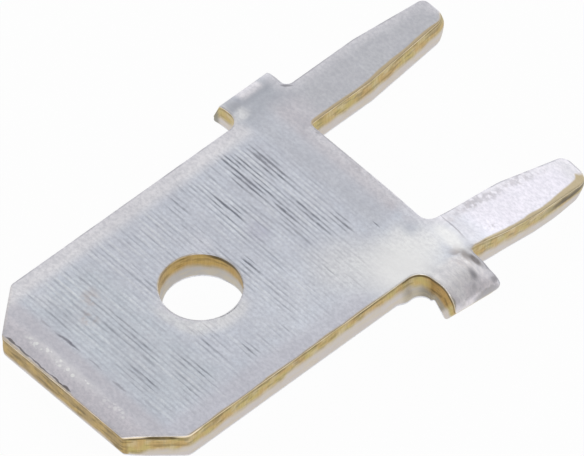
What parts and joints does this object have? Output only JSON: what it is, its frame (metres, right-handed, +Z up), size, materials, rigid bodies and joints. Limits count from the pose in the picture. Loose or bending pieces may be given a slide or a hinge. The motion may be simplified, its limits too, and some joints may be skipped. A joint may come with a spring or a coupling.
{
  "type": "pcb tab terminal",
  "caption": "Flat stamped male tab for a circuit board: blade with clipped corners and a latch hole, short shoulders and narrow solder pins, the right pin and shoulder bent down.",
  "frame": {"origin": "middle of the underside of the bounding box, on the surface that the terminal lies on", "axes": "+Z is up as the terminal lies at rest, +Y runs from the blade's tip to the pins, +X runs across the blade, towards the bent pin"},
  "size_m": [0.0086, 0.0142, 0.0023],
  "materials": {
    "tinned_brass": "tin-plated rolled faces, bare brass along the sheared edges"
  },
  "bodies": {
    "root": {"terminal": "tinned_brass"}
  },
  "joints": []
}
